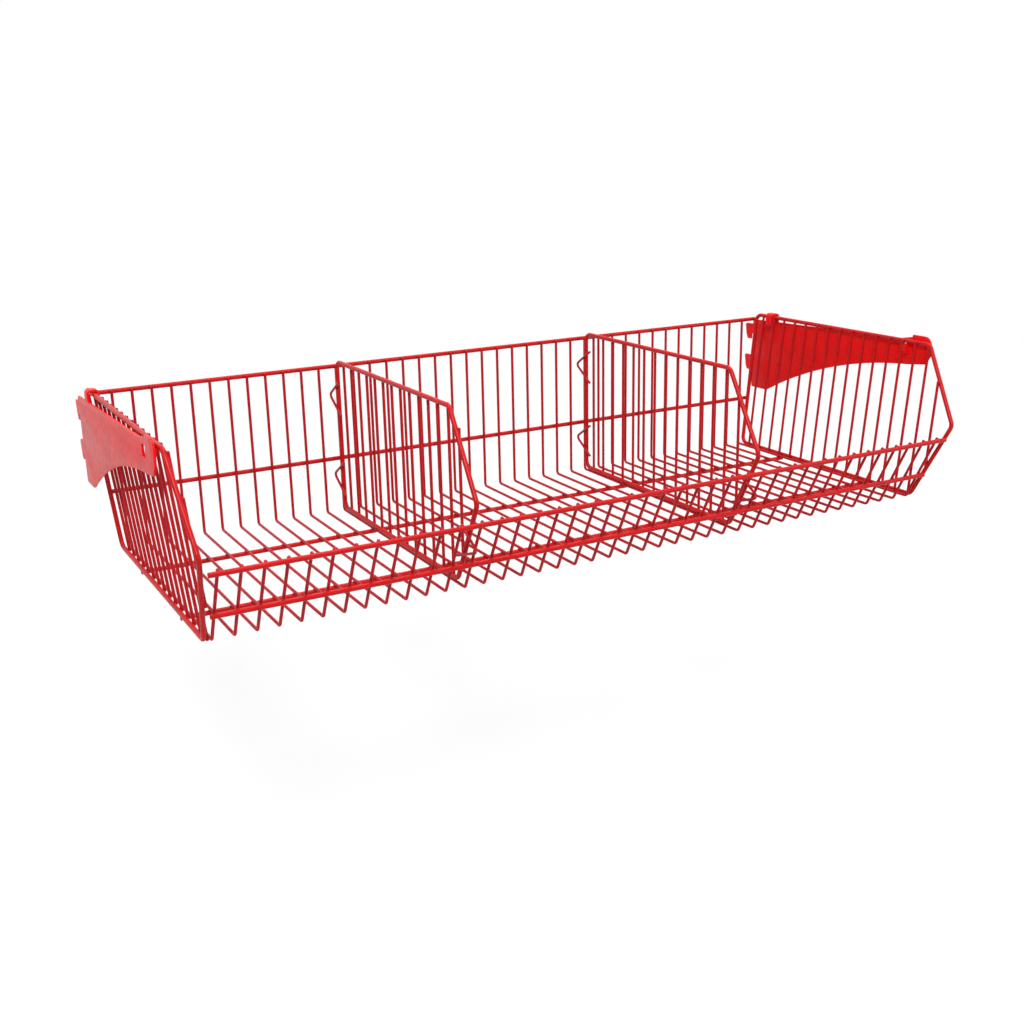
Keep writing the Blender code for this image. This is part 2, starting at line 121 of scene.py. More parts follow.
class WireSizes(bpy.types.PropertyGroup):
    """Wires, how finely they are skinned, and the welds between them."""
    thin: length("Thin radius", "Radius of the bent wires and the upright wires", 0.00175)
    thick: length("Thick radius", "Radius of the rails, hoops and divider frames", 0.00275)
    clip: length("Clip radius", "Radius of the spring clips", 0.0016)
    gap: length("Weld gap", "Gap that a weld fills between two crossing wires", 0.0003)
    sink: length("Weld sink", "How deep an upright is pressed into its hoop", 0.0008)
    end_round: length("End round", "Round of the coat on a cut wire end", 0.0005)
    ring_step: length("Ring step", "Longest stretch of wire between two rings of its skin", 0.004)
    ring_sides: tally("Ring sides", "Sides of a wire's round skin", 16)
    bend_steps: tally("Bend steps", "Rings in each bend", 8)
    end_rings: tally("End rings", "Rings in the round of a cut end", 4)
    bead_length: length("Bead length", "Half length of a weld bead along the wires", 0.0021)
    bead_height: length("Bead height", "Half height of a weld bead between the wires", 0.0010)
    weld_reach: length("Weld reach", "Distance over which a weld marks the coat", 0.0040)


class BasketSizes(bpy.types.PropertyGroup):
    """Profile of the basket, on the centre lines of its end hoops."""
    height: length("Height", "Height of the top wire over the base wire", 0.1945)
    base_depth: length("Base depth", "Depth of the base", 0.346)
    lip_depth: length("Lip depth", "Depth of the lip's top corner", 0.398)
    lip_height: length("Lip height", "Height of the lip's top corner", 0.100)
    top_depth: length("Top depth", "Depth of the top wire's front corner", 0.343)
    hoop_bend: length("Hoop bend", "Bend of the hoops and divider frames", 0.010)
    flare: length("End flare", "How far each end leans out at the top", 0.020)
    back_bend: length("Back bend", "Bend of the wires between back and base", 0.004)
    lip_bend: length("Lip bend", "Bend of the wires between base and lip", 0.005)
    tip_along: length("Tip along", "Distance of the wire tips up the lip", 0.097)
    top_drop: length("Top drop", "Drop of the wires' top ends below the top wire", 0.00525)
    rail_past: length("Rail ends", "How far a rail's ends reach past the hoops' centre lines", 0.001)


class PanelSizes(bpy.types.PropertyGroup):
    """Upright wires of the ends and dividers, and the dividers' clips."""
    end_count: tally("End uprights", "Upright wires in each end", 16)
    end_first: length("First upright", "Depth of the first upright wire of an end", 0.0203)
    end_last_back: length("Last upright", "Distance of the last upright back from the lip", 0.0297)
    past: length("Upright tips", "How far the uprights reach past the top wire's centre line", 0.001)
    divider_count: tally("Divider uprights", "Upright wires in a divider", 14)
    divider_first: length("First divider upright", "Depth of a divider's first upright", 0.017)
    divider_last_back: length("Last divider upright", "Distance of the last one back from the lip", 0.044)
    top_short: length("Top short", "How far a divider's top stops short of the hoop's", 0.020)
    lip_short: length("Lip short", "How far a divider's lip corner stops short of the hoop's", 0.017)
    base_short: length("Base short", "How far a divider's base stops short of the hoop's", 0.016)
    rear_clip_reach: length("Rear clip reach", "Reach of a rear clip behind the frame", 0.019)
    rear_clip_height: length("Rear clip height", "Height of a rear clip", 0.044)
    rear_clip_upper: length("Upper clip", "Drop of the middle of the upper rear clip", 0.0445)
    rear_clip_lower: length("Lower clip", "Height of the middle of the lower rear clip", 0.045)
    front_clip_reach: length("Front clip reach", "Reach of the front clip before the frame", 0.034)
    front_clip_height: length("Front clip height", "Height of the front clip", 0.034)
    front_clip_middle: length("Front clip", "Height of the middle of the front clip", 0.051)
    rear_clip_tail: length("Rear clip tail", "Length of a rear clip's ends past the frame", 0.0165)
    front_clip_tail: length("Front clip tail", "Length of a front clip's ends past the frame", 0.007)
    clip_bend: length("Clip bend", "Bend at a clip's nose", 0.004)


class BracketSizes(bpy.types.PropertyGroup):
    """Sheet brackets; drops are measured down from the top wire and backs from its front corner."""
    sheet: length("Sheet", "Thickness of the sheet", 0.0025)
    gap: length("Side gap", "Gap between the sheet and the top wire", 0.00295)
    edge_round: length("Edge round", "Round of the sheet's edges under the coat", 0.0006)
    fold: length("Fold radius", "Bend radius in the middle of the folded sheet", 0.0032)
    behind: length("Behind", "How far the rear edge lies behind the basket", 0.015)
    foot_drop: length("Foot drop", "Drop of the plate's foot", 0.1125)
    foot_length: length("Foot length", "Length of the plate's foot", 0.035)
    rear_drop: length("Rear drop", "Drop of the top edge at the rear", 0.0095)
    front_rise: length("Front rise", "Rise of the top edge at the front", 0.001)
    arch_back: length("Arch back", "Distance back to the arch's front end", 0.043)
    arch_drop: length("Arch drop", "Drop of the arch's front end", 0.032)
    arch_rise: length("Arch rise", "How far the arch bulges up", 0.015)
    nose_back: length("Nose back", "Distance back to the nose's lower corner", 0.012)
    nose_drop: length("Nose drop", "Drop of the nose's lower corner", 0.028)
    lug_back: length("Lug back", "Distance back to the front of the lug", 0.004)
    lug_length: length("Lug length", "Length of the front lug", 0.032)
    lug_rise: length("Lug rise", "Rise of the front lug over the top wire", 0.008)
    lug_round: length("Lug round", "Round of the lug's front corner", 0.012)
    ramp_length: length("Ramp length", "Length of the ramp behind the lug", 0.022)
    ramp_rise: length("Ramp rise", "Rise of the ramp behind the lug", 0.004)
    hook_upper_drop: length("Upper hook", "Drop of the upper hook's top", 0.0165)
    hook_lower_drop: length("Lower hook", "Drop of the lower hook's top", 0.064)
    hook_height: length("Hook height", "Height of a hook", 0.023)
    hook_reach: length("Hook reach", "Reach of a hook behind the rear edge", 0.018)
    hook_throat: length("Hook throat", "Width of a hook's throat", 0.004)
    hook_throat_height: length("Throat height", "Height of a hook's throat", 0.008)
    hook_round: length("Hook round", "Chamfer of a hook's corners", 0.003)
    tab_width: length("Tab width", "Width of the folded tab", 0.013)
    tab_gap: length("Tab gap", "Gap between the tab and the wires beside it", 0.001)
    finger_drop: length("Finger drop", "Drop of the folded tab's end", 0.012)
    tab_before: tally("Tab before", "Upright that the folded tab stands behind", 2)
    shelf_after: tally("Shelf after", "Upright that the shelf tab stands in front of", 13)
    shelf_gap: length("Shelf gap", "Gap between the shelf tab and that upright", 0.002)
    shelf_height: length("Shelf height", "Height of the shelf tab and of the window it is bent out of", 0.013)
    shelf_fold: length("Shelf fold", "Bend radius of the shelf tab, just under the fold's", 0.003136)
    window: length("Window", "Length of the window", 0.010)
    hook_root: length("Hook root", "Round where a hook leaves the rear edge", 0.0015)
    hook_inside: length("Hook inside", "Round of a hook's point and throat", 0.0012)
    rear_round: length("Rear round", "Round of the plate's top rear corner", 0.002)
    foot_round: length("Foot round", "Round of the plate's foot", 0.003)
    nose_round: length("Nose round", "Round of the nose's lower corner", 0.004)
    chin_round: length("Chin round", "Round under the lug's front", 0.006)
    lug_rear_round: length("Lug rear round", "Round of the lug's rear corner", 0.0015)
    ramp_round: length("Ramp round", "Round where the ramp meets the lug", 0.001)
    ramp_foot_round: length("Ramp foot round", "Round at the foot of the ramp", 0.004)


class CoatLooks(bpy.types.PropertyGroup):
    """Colours of the powder coat, with a darker red on the thin wires as painted shade, and of what shows
    where it is rubbed.
    """
    thick: colour("Thick wire red", "Coat on the rails, hoops and frames", (0.50, 0.0070, 0.0085))
    # Thin wire red is the wire red made darker as painted shade, for how dark the thin wires look in shade;
    # it is not a thinner coat.
    thin: colour("Thin wire red", "Coat on the thin wires, which take less of it", (0.43, 0.0065, 0.0095))
    plate: colour("Plate red", "Coat on the sheet brackets", (0.80, 0.0050, 0.0055))
    deep: amount("Deep coat", "Tone where the coat lies thick", 0.84)
    weld_tone: amount("Weld tone", "Tone of the coat on a weld", 0.5)
    bare: colour("Rubbed steel", "Steel that shows where hooks and clips rub", (0.30, 0.27, 0.26))
    clip_rub: amount("Clip rub", "How far the nose of a clip is rubbed", 0.62)
    clip_rub_reach: length("Clip rub reach", "Distance over which a clip's nose is rubbed", 0.004)
    hook_rub: amount("Hook rub", "How far the throat of a hook is rubbed", 0.55)
    hook_rub_reach: length("Hook rub reach", "Distance over which a hook's throat is rubbed", 0.006)
    roughness: amount("Roughness", "How dull the coat on the wires is", 0.30)
    plate_roughness: amount("Plate roughness", "How dull the coat on the brackets is", 0.34)
    sheen: amount("Sheen", "Strength of the coat's mirror reflection", 0.13)
    peel: amount("Orange peel", "Strength of the fine waves in the coat", 0.25)
    wire_peel: length("Wire peel", "Depth of the waves on the wires", 0.00003)
    plate_peel: length("Plate peel", "Depth of the waves on the brackets", 0.00006)


class StageSizes(bpy.types.PropertyGroup):
    """Floor, lamps and the camera that looks in from the front left."""
    eye: spot("Eye", "Place of the camera", (-0.7616, -1.3253, 0.48375))
    aim: spot("Aim", "Point that the lamps face", (0.0, 0.0, 0.1))
    yaw: bearing("Yaw", "Camera's turn to the right", 0.5006)
    pitch: bearing("Pitch", "Camera's tilt down", 0.2942)
    roll: bearing("Roll", "Camera's roll", -0.0219)
    focal: FloatProperty(name="Focal length", description="Focal length in image widths", default=1.2468)
    floor_drop: length("Floor drop", "How far below the basket the floor lies", 0.45)
    floor_radius: length("Floor radius", "Radius of the round floor", 14.0)
    floor_sides: tally("Floor sides", "Sides of the round floor", 96)
    floor_tone: amount("Floor tone", "Grey of the floor to the lamps", 0.55)
    light_spread: length("Light spread", "Distance over which the lamps' light on the floor falls off", 2.8)
    glow_near: amount("Near glow", "Glow of the floor under the lamps", 0.295)
    glow_far: amount("Far glow", "Glow of the floor beyond the lamps", 0.735)
    world_light: amount("World light", "Strength of the even light from all round", 0.50)


class RackSettings(bpy.types.PropertyGroup):
    """All the sizes and colours of the rack."""
    wires: PointerProperty(type=WireSizes)
    basket: PointerProperty(type=BasketSizes)
    panels: PointerProperty(type=PanelSizes)
    brackets: PointerProperty(type=BracketSizes)
    coat: PointerProperty(type=CoatLooks)
    stage: PointerProperty(type=StageSizes)


# Lines that the whole rack is measured from


def settings():
    """The scene's settings for the rack."""
    return bpy.context.scene.basket_rack


def rail_out():
    """Distance of the rails outside the hoops' centre lines."""
    wires = settings().wires
    return 2 * wires.thick + wires.gap


def wire_out():
    """Distance of the thin wires outside the hoops' centre lines."""
    wires = settings().wires
    return rail_out() - wires.thick - wires.thin - wires.gap


def upright_offset():
    """Distance between the centre lines of an upright and the hoop that it is pressed into."""
    wires = settings().wires
    return wires.thick + wires.thin - wires.sink


def place(x, flat):
    """Points in space from rows of depth and height, at one x or at one x for each row."""
    flat = np.asarray(flat, float)
    back_line = middle("mid_back_rail").y - rail_out()
    base_line = middle("base_rear_rail").z + rail_out()
    return np.column_stack([np.broadcast_to(x, len(flat)), back_line - flat[:, 0], base_line + flat[:, 1]])


def lip_axes():
    """Unit directions up the lip and out of it, as depth and height."""
    basket = settings().basket
    along = unit(np.array([basket.lip_depth - basket.base_depth, basket.lip_height]))
    return along, np.array([along[1], -along[0]])


def end_bottom_half():
    """Distance of an end hoop's base wire from the middle of the basket."""
    wires = settings().wires
    return -middle(WIRE_NODES[0]).x + 2 * wires.thin + 2 * wires.gap + upright_offset()


def half_width(height):
    """Distance of a leaning end from the middle of the basket at a height."""
    basket = settings().basket
    return end_bottom_half() + np.asarray(height) * basket.flare / basket.height


def hoop_corners():
    """Depth and height of each corner of an end hoop, from the top rear corner round the base."""
    b = settings().basket
    return np.array([
        (0, b.height), (0, 0), (b.base_depth, 0), (b.lip_depth, b.lip_height), (b.top_depth, b.height)])


def divider_corners():
    """Depth and height of each corner of a divider's frame, in the same order as the hoop."""
    wires, b, panels = settings().wires, settings().basket, settings().panels
    seat = wires.thin + wires.gap + wires.thick - wire_out()
    return np.array([
        (seat, b.height), (seat, seat), (b.base_depth - panels.base_short, seat),
        (b.lip_depth - panels.lip_short, b.lip_height), (b.top_depth - panels.top_short, b.height)])


def divider_x(side_name):
    """Place of a divider along the bay: over the wire that it stands on."""
    return middle(WIRE_NODES[DIVIDER_WIRES[side_name] - 1]).x


# Paths and surfaces worked out as whole arrays


def unit(vectors):
    """Vectors scaled to length one, along the last axis."""
    return vectors / np.maximum(np.linalg.norm(vectors, axis=-1, keepdims=True), 1e-12)


def rounded(corners, radius, steps, closed=False):
    """Polyline whose corners are arcs that touch both legs.

    An arc's centre lies on the corner's bisector at radius / sin(half angle). Its points are that centre
    plus the radius times a direction that turns evenly from one touching point to the other.
    A corner of radius 0 stays a single point.
    """
    corners = np.asarray(corners, float)
    radius = np.broadcast_to(np.asarray(radius, float), len(corners))
    before = unit(np.roll(corners, 1, 0) - corners)
    after = unit(np.roll(corners, -1, 0) - corners)
    inner = slice(None) if closed else slice(1, -1)
    corner, before, after, radius = corners[inner], before[inner], after[inner], radius[inner]
    half = np.arccos(np.clip((before * after).sum(1), -1, 1)) / 2
    centre = corner + unit(before + after) * (radius / np.sin(half))[:, None]
    start = unit(before / np.tan(half)[:, None] - unit(before + after) / np.sin(half)[:, None])
    end = unit(after / np.tan(half)[:, None] - unit(before + after) / np.sin(half)[:, None])
    sweep = np.maximum(np.pi - 2 * half, 1e-5)[:, None, None]
    share = np.linspace(0, 1, steps + 1)[None, :, None]
    leaving, nearing = np.sin((1 - share) * sweep), np.sin(share * sweep)
    turn = (leaving * start[:, None] + nearing * end[:, None]) / np.sin(sweep)
    points = centre[:, None] + turn * radius[:, None, None]
    keep = np.ones(points.shape[:2], bool)
    keep[radius == 0, 1:] = False
    path = points[keep]
    return path if closed else np.vstack([corners[:1], path, corners[-1:]])


def arch_arc(start, end, rise, steps):
    """Arc from one point to another that bulges to the left of the way by the rise."""
    chord = end - start
    span = np.linalg.norm(chord)
    radius = (span ** 2 / 4 + rise ** 2) / (2 * rise)
    along = chord / span
    up = np.array([-along[1], along[0]])
    angle = math.asin(span / 2 / radius) * np.linspace(-1, 1, steps + 1)[:, None]
    centre = (start + end) / 2 - up * (radius - rise)
    return centre + radius * (along * np.sin(angle) + up * np.cos(angle))


def evenly(path, step, closed=False):
    """Path with points added on its legs so that no stretch is longer than the step."""
    legs = np.vstack([path, path[:1]]) if closed else path
    along = np.concatenate([[0], np.cumsum(np.linalg.norm(np.diff(legs, axis=0), axis=1))])
    shortest = step / 20
    stations = np.union1d(np.round(along, 6), np.round(np.arange(0, along[-1], step), 6))
    stations = stations[np.concatenate([[True], np.diff(stations) > shortest])]
    if closed:
        stations = stations[stations < along[-1] - shortest]
    return np.column_stack([np.interp(stations, along, legs[:, axis]) for axis in range(legs.shape[1])])


def tube(path, radius, normal, closed=False):
    """Skin of a round wire: at each point of the path, a circle of the radius square to the path.

    A circle's points are path + radius * (cos t * across + sin t * raised), where across lies in the bend's
    plane and raised stands on it. A cut end adds circles whose radius and offset follow a quarter turn, and
    is then closed flat.
    Returns the points and the faces.
    """
    wires = settings().wires
    path = evenly(np.asarray(path, float), wires.ring_step, closed)
    ahead = unit(np.roll(path, -1, 0) - path)
    behind = unit(path - np.roll(path, 1, 0))
    if not closed:
        ahead[-1], behind[0] = behind[-1], ahead[0]
    tangent = unit(ahead + behind)
    radii = np.full(len(path), radius)
    if not closed:
        count = wires.end_rings
        quarter = np.linspace(np.pi / 2, 0, count)
        inset = wires.end_round * (1 - np.sin(quarter))
        shrink = wires.end_round * (1 - np.cos(quarter))
        head = path[0] + tangent[0] * inset[:, None]
        tail = (path[-1] - tangent[-1] * inset[:, None])[::-1]
        radii = np.concatenate([radius - shrink, radii[1:-1], (radius - shrink)[::-1]])
        path = np.vstack([head, path[1:-1], tail])
        tangent = np.vstack([
            np.repeat(tangent[:1], count, 0), tangent[1:-1], np.repeat(tangent[-1:], count, 0)])
    across = unit(np.cross(normal, tangent))
    raised = np.cross(tangent, across)
    angle = np.linspace(0, 2 * np.pi, wires.ring_sides, endpoint=False)[None, :, None]
    circle = np.cos(angle) * across[:, None] + np.sin(angle) * raised[:, None]
    rings = path[:, None] + radii[:, None, None] * circle
    return rings.reshape(-1, 3), grid_faces(len(path), wires.ring_sides, closed)


def grid_faces(rows, columns, wrap_rows=False):
    """Four-sided faces of a grid whose columns close on themselves, with rows closed too or capped flat."""
    row = np.arange(rows if wrap_rows else rows - 1)[:, None]
    column = np.arange(columns)[None, :]
    next_row, next_column = (row + 1) % rows, (column + 1) % columns
    corners = [row * columns + column, row * columns + next_column,
               next_row * columns + next_column, next_row * columns + column]
    sides = np.stack(corners, -1).reshape(-1, 4)
    if wrap_rows:
        return sides
    near_side = np.arange(columns // 2 - 1)
    far_side = columns - 1 - near_side
    cap = np.column_stack([near_side, near_side + 1, far_side - 1, far_side])
    return np.vstack([sides, cap[:, ::-1], cap + (rows - 1) * columns])


def joined(parts):
    """One set of points and faces from several."""
    starts = np.cumsum([0] + [len(points) for points, _ in parts[:-1]])
    faces = [part_faces + start for (_, part_faces), start in zip(parts, starts)]
    return np.vstack([points for points, _ in parts]), np.vstack(faces)


def near(points, marks, reach):
    """How close each point lies to the nearest mark: 1 on it, falling off as a bell of the given reach."""
    if not len(marks):
        return np.zeros(len(points))
    distance = np.linalg.norm(points[:, None] - np.asarray(marks)[None], axis=2).min(1)
    return np.exp(-(distance / reach) ** 2)


def coat_masks(points, marks, thin=0.0, rub=0.0):
    """Masks of a coated piece: nearness to the weld marks, the thin wires that take the darker red of painted
    shade, and rubbed places.
    """
    spread = {"weld": near(points, marks, settings().wires.weld_reach), "thin": thin, "rub": rub}
    return {name: np.broadcast_to(values, len(points)) for name, values in spread.items()}


def new_piece(name, points, faces, material, masks):
    """Mesh object at the origin with its material and its painted masks."""
    mesh = bpy.data.meshes.new(name)
    mesh.from_pydata(points.tolist(), [], [list(face) for face in faces])
    mesh.polygons.foreach_set("use_smooth", np.ones(len(mesh.polygons), bool))
    for mask, values in masks.items():
        attribute = mesh.attributes.new(mask, "FLOAT", "POINT")
        attribute.data.foreach_set("value", np.asarray(values, np.float32))
    mesh.materials.append(material)
    mesh.update()
    piece = bpy.data.objects.new(name, mesh)
    bpy.context.scene.collection.objects.link(piece)
    return piece


def stand_for(piece, node):
    """Let a piece ride on its CAD node's body and stand for the node, whose own mesh is hidden."""
    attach(piece, BODY_OF[node])
    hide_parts(node)


def coated(name, node, points, faces, masks):
    """Piece in its wire coat that stands for a CAD node."""
    stand_for(new_piece(name, points, faces, wire_material(SLOT_OF[node]), masks), node)


# Coat materials, from shared node groups


def group_sockets(tree, inputs, outputs):
    """Add named sockets to a node group and return its input and output nodes."""
    for name, kind, value in inputs:
        socket = tree.interface.new_socket(name, in_out="INPUT", socket_type=kind)
        socket.default_value = value
    for name, kind in outputs:
        tree.interface.new_socket(name, in_out="OUTPUT", socket_type=kind)
    return tree.nodes.new("NodeGroupInput"), tree.nodes.new("NodeGroupOutput")


def noise(tree, scale, detail):
    """Noise over the piece's own coordinates."""
    place_node = tree.nodes.new("ShaderNodeTexCoord")
    texture = tree.nodes.new("ShaderNodeTexNoise")
    texture.inputs["Scale"].default_value = scale
    texture.inputs["Detail"].default_value = detail
    tree.links.new(place_node.outputs["Object"], texture.inputs["Vector"])
    return texture


def remap(tree, value, low, high, to_low, to_high):
    """Value stretched from one range to another and held inside it."""
    node = tree.nodes.new("ShaderNodeMapRange")
    for socket, number in zip(node.inputs[1:5], (low, high, to_low, to_high)):
        socket.default_value = number
    tree.links.new(value, node.inputs["Value"])
    return node.outputs["Result"]


def blend(tree, factor, first, second):
    """Colour between two colours, each a socket."""
    node = tree.nodes.new("ShaderNodeMix")
    node.data_type = "RGBA"
    for socket, source in ((node.inputs[0], factor), (node.inputs[6], first), (node.inputs[7], second)):
        tree.links.new(source, socket)
    return node.outputs[2]


def combine(tree, operation, first, second):
    """Sum, product or another joining of two values, each a socket or a number."""
    node = tree.nodes.new("ShaderNodeMath")
    node.operation = operation
    for socket, source in zip(node.inputs, (first, second)):
        if isinstance(source, (int, float)):
            socket.default_value = source
        else:
            tree.links.new(source, socket)
    return node.outputs["Value"]


def coat_skin_group():
    """Powder coat: a darker tone on thin wires that is painted shade, broad changes where it lies thick, and
    a fine orange peel.
    """
    tree = bpy.data.node_groups.new("Powder Coat Skin", "ShaderNodeTree")
    given, made = group_sockets(
        tree,
        [("Coat", COLOUR, (0.5, 0.01, 0.01, 1)), ("Shaded Thin Coat", COLOUR, (0.4, 0.01, 0.01, 1)),
         ("Thin", VALUE, 0.0), ("Deep", VALUE, 0.8), ("Roughness", VALUE, 0.3)],
        [("Color", COLOUR), ("Roughness", VALUE), ("Height", VALUE)])
    broad = noise(tree, 22.0, 3.0).outputs["Fac"]
    peel = noise(tree, 650.0, 1.0).outputs["Fac"]
    ripple = noise(tree, 150.0, 2.0).outputs["Fac"]
    # Thin wires take the darker thin coat, which is painted shade.
    tone = blend(tree, given.outputs["Thin"], given.outputs["Coat"], given.outputs["Shaded Thin Coat"])
    shade = tree.nodes.new("ShaderNodeVectorMath")
    shade.operation = "SCALE"
    tree.links.new(tone, shade.inputs["Vector"])
    tree.links.new(given.outputs["Deep"], shade.inputs["Scale"])
    thick = remap(tree, broad, 0.35, 0.70, 0.0, 1.0)
    tree.links.new(blend(tree, thick, tone, shade.outputs["Vector"]), made.inputs["Color"])
    gloss = remap(tree, ripple, 0.3, 0.7, -0.05, 0.06)
    tree.links.new(combine(tree, "ADD", given.outputs["Roughness"], gloss), made.inputs["Roughness"])
    tree.links.new(combine(tree, "ADD", combine(tree, "MULTIPLY", peel, 0.6), ripple), made.inputs["Height"])
    return tree


def weld_mark_group():
    """Marks round a weld: the coat is drawn thin, darker and uneven where the bead runs into the wires."""
    tree = bpy.data.node_groups.new("Weld Marks", "ShaderNodeTree")
    given, made = group_sockets(
        tree,
        [("Color", COLOUR, (0.7, 0.01, 0.01, 1)), ("Deep Coat", COLOUR, (0.5, 0.01, 0.01, 1)),
         ("Weld", VALUE, 0.0)],
        [("Color", COLOUR), ("Dullness", VALUE), ("Height", VALUE)])
    pucker = noise(tree, 900.0, 3.0).outputs["Fac"]
    uneven = combine(tree, "MULTIPLY", given.outputs["Weld"], remap(tree, pucker, 0.3, 0.7, 0.35, 1.0))
    shade = combine(tree, "MULTIPLY", uneven, 0.45)
    marked = blend(tree, shade, given.outputs["Color"], given.outputs["Deep Coat"])
    tree.links.new(marked, made.inputs["Color"])
    tree.links.new(combine(tree, "MULTIPLY", uneven, 0.14), made.inputs["Dullness"])
    tree.links.new(uneven, made.inputs["Height"])
    return tree


def rub_group():
    """Rubbed places: specks of steel that join up where the mask is strong."""
    tree = bpy.data.node_groups.new("Rubbed Places", "ShaderNodeTree")
    given, made = group_sockets(
        tree,
        [("Color", COLOUR, (0.7, 0.01, 0.01, 1)), ("Bare", COLOUR, (0.3, 0.3, 0.3, 1)), ("Rub", VALUE, 0.0)],
        [("Color", COLOUR), ("Bare Share", VALUE)])
    grain = noise(tree, 1100.0, 4.0).outputs["Fac"]
    share = remap(tree, combine(tree, "ADD", given.outputs["Rub"], grain), 1.08, 1.24, 0.0, 1.0)
    tree.links.new(blend(tree, share, given.outputs["Color"], given.outputs["Bare"]), made.inputs["Color"])
    tree.links.new(share, made.inputs["Bare Share"])
    return tree


def node_group(name, maker):
    """A shared node group, made the first time that it is asked for."""
    return bpy.data.node_groups.get(name) or maker()


def coat_material(name, coat, shaded_thin_coat, roughness, peel_depth):
    """Glossy red powder coat over steel, with weld marks and rubbed places painted by the piece's masks."""
    if name in bpy.data.materials:
        return bpy.data.materials[name]
    looks = settings().coat
    material = bpy.data.materials.new(name)
    material.use_nodes = True
    tree = material.node_tree
    shader = tree.nodes["Principled BSDF"]
    shader.inputs["IOR"].default_value = 1.5
    shader.inputs["Specular IOR Level"].default_value = looks.sheen

    def group(label, maker):
        node = tree.nodes.new("ShaderNodeGroup")
        node.node_tree = node_group(label, maker)
        return node

    def mask(label):
        node = tree.nodes.new("ShaderNodeAttribute")
        node.attribute_name = label
        return node.outputs["Fac"]

    skin = group("Powder Coat Skin", coat_skin_group)
    skin.inputs["Coat"].default_value = (*coat, 1)
    # The thin coat is the coat darkened as painted shade for the thin wires.
    skin.inputs["Shaded Thin Coat"].default_value = (*shaded_thin_coat, 1)
    skin.inputs["Deep"].default_value = looks.deep
    skin.inputs["Roughness"].default_value = roughness
    tree.links.new(mask("thin"), skin.inputs["Thin"])
    weld = group("Weld Marks", weld_mark_group)
    weld.inputs["Deep Coat"].default_value = (*[value * looks.weld_tone for value in shaded_thin_coat], 1)
    tree.links.new(skin.outputs["Color"], weld.inputs["Color"])
    tree.links.new(mask("weld"), weld.inputs["Weld"])
    rub = group("Rubbed Places", rub_group)
    rub.inputs["Bare"].default_value = (*looks.bare, 1)
    tree.links.new(weld.outputs["Color"], rub.inputs["Color"])
    tree.links.new(mask("rub"), rub.inputs["Rub"])
    tree.links.new(rub.outputs["Color"], shader.inputs["Base Color"])
    tree.links.new(rub.outputs["Bare Share"], shader.inputs["Metallic"])
    dull = combine(tree, "ADD", skin.outputs["Roughness"], weld.outputs["Dullness"])
    tree.links.new(dull, shader.inputs["Roughness"])
    bump = tree.nodes.new("ShaderNodeBump")
    bump.inputs["Strength"].default_value = looks.peel
    bump.inputs["Distance"].default_value = peel_depth
    height = combine(tree, "ADD", skin.outputs["Height"], weld.outputs["Height"])
    tree.links.new(height, bump.inputs["Height"])
    tree.links.new(bump.outputs["Normal"], shader.inputs["Normal"])
    return material


def wire_material(slot):
    """Coat of a wire piece, named for its finish."""
    coat = settings().coat
    return coat_material("powder_" + slot, coat.thick, coat.thin, coat.roughness, coat.wire_peel)


def plate_material(slot):
    """Coat of the sheet brackets, a little duller and with deeper waves than on the wires."""
    coat = settings().coat
    return coat_material("powder_" + slot, coat.plate, coat.plate, coat.plate_roughness, coat.plate_peel)


# Weld places


def rail_normals():
    """Direction from each rail to the thin wires welded to it, as depth and height."""
    _, out = lip_axes()
    return {
        "top_back_rail": np.array([1.0, 0.0]), "mid_back_rail": np.array([1.0, 0.0]),
        "base_rear_rail": np.array([0.0, 1.0]), "base_front_rail": np.array([0.0, 1.0]),
        "lip_lower_rail": -out, "lip_top_rail": -out}


@functools.cache
def rail_weld_points(rail):
    """Points where the thin wires, and the end hoops that it passes, are welded to a rail."""
    wires = settings().wires
    normal = rail_normals()[rail]
    across = np.array([middle(node).x for node in WIRE_NODES])
    low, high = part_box(rail)
    if not rail.startswith("lip"):
        past = settings().basket.rail_past
        across = np.concatenate([across, [low.x + past, high.x - past]])
    centre = np.array(middle(rail))
    reach = wires.thick + wires.gap / 2
    points = np.tile(centre, (len(across), 1))
    points[:, 0] = across
    return points + reach * np.array([0, -normal[0], normal[1]])


def weld_beads(marks, normal, along, sides=10, rows=6):
    """Weld beads: squashed balls, one at each mark, with their short axis along the normal.

    A ball's points are its mark plus sin(p) * cos(t) across the given direction, sin(p) * sin(t) along it
    and cos(p) along the normal, each times its half size, with p from pole to pole and t all round.
    """
    wires = settings().wires
    marks = np.asarray(marks, float)
    across = unit(np.cross(normal, along))
    pole_gap = 0.02
    polar = np.linspace(pole_gap, np.pi - pole_gap, rows)[:, None, None]
    turn = np.linspace(0, 2 * np.pi, sides, endpoint=False)[None, :, None]
    circle = np.cos(turn) * across - np.sin(turn) * np.cross(across, normal)
    ball = wires.bead_length * np.sin(polar) * circle + wires.bead_height * np.cos(polar) * normal
    ball = ball.reshape(-1, 3)
    points = (marks[:, None] + ball[None]).reshape(-1, 3)
    starts = np.arange(len(marks))[:, None, None] * len(ball)
    return points, (starts + grid_faces(rows, sides)).reshape(-1, 4)


def upright_runs(corners, first, last, count, lowest):
    """Ends of each upright in a frame, and the places where it meets the frame, as depth and height."""
    wires, panels = settings().wires, settings().panels
    depth = np.linspace(first, last, count)
    base, front, top = corners[2:]
    meets_low = np.interp(depth, [base[0], front[0]], [base[1], front[1]])
    meets_high = np.interp(depth, [top[0], front[0]], [top[1], front[1]])
    low = np.column_stack([depth, np.maximum(meets_low - wires.thin, lowest)])
    high = np.column_stack([depth, meets_high + panels.past])
    meets = np.vstack([np.column_stack([depth, meets_low]), np.column_stack([depth, meets_high])])
    return np.stack([low, high], 1), meets


